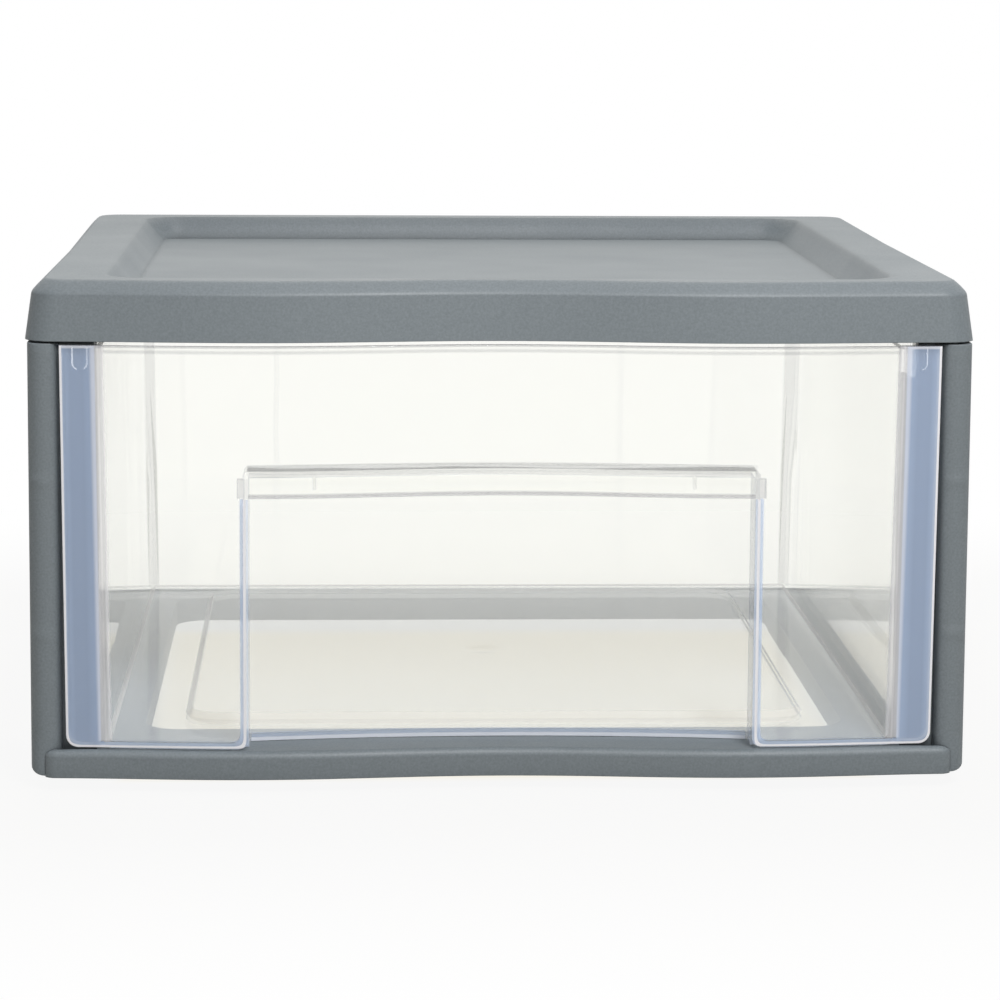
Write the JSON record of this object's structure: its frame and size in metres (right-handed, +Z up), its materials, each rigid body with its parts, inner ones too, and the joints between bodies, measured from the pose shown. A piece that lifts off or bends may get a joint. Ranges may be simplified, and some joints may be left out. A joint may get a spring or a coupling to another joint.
{
  "type": "stackable drawer box",
  "caption": "Clear drawer in a grey framed cabinet with a recessed top, made to stack, with a finger pull moulded in the drawer front.",
  "frame": {"origin": "under the middle of the box, on the surface it stands on", "axes": "+Z up, the drawer front faces -Y, +X to the right seen from the front"},
  "size_m": [0.37, 0.3426, 0.2],
  "materials": {
    "grey_polypropylene": "fine grained moulding",
    "clear_drawer": "clear moulding with a slight blue haze",
    "clear_panel": "clear sheet"
  },
  "bodies": {
    "cabinet": {"top_cover": "grey_polypropylene", "bottom_frame": "grey_polypropylene", "left_front_post": "grey_polypropylene", "right_front_post": "grey_polypropylene", "left_side_panel": "clear_panel", "right_side_panel": "clear_panel", "back_panel": "clear_panel"},
    "drawer": {"drawer": "clear_drawer"}
  },
  "joints": [
    {"name": "drawer_slide", "type": "slide", "parent": "cabinet", "child": "drawer", "axis": [0, -1, 0], "range_m": [0, 0.26]}
  ]
}
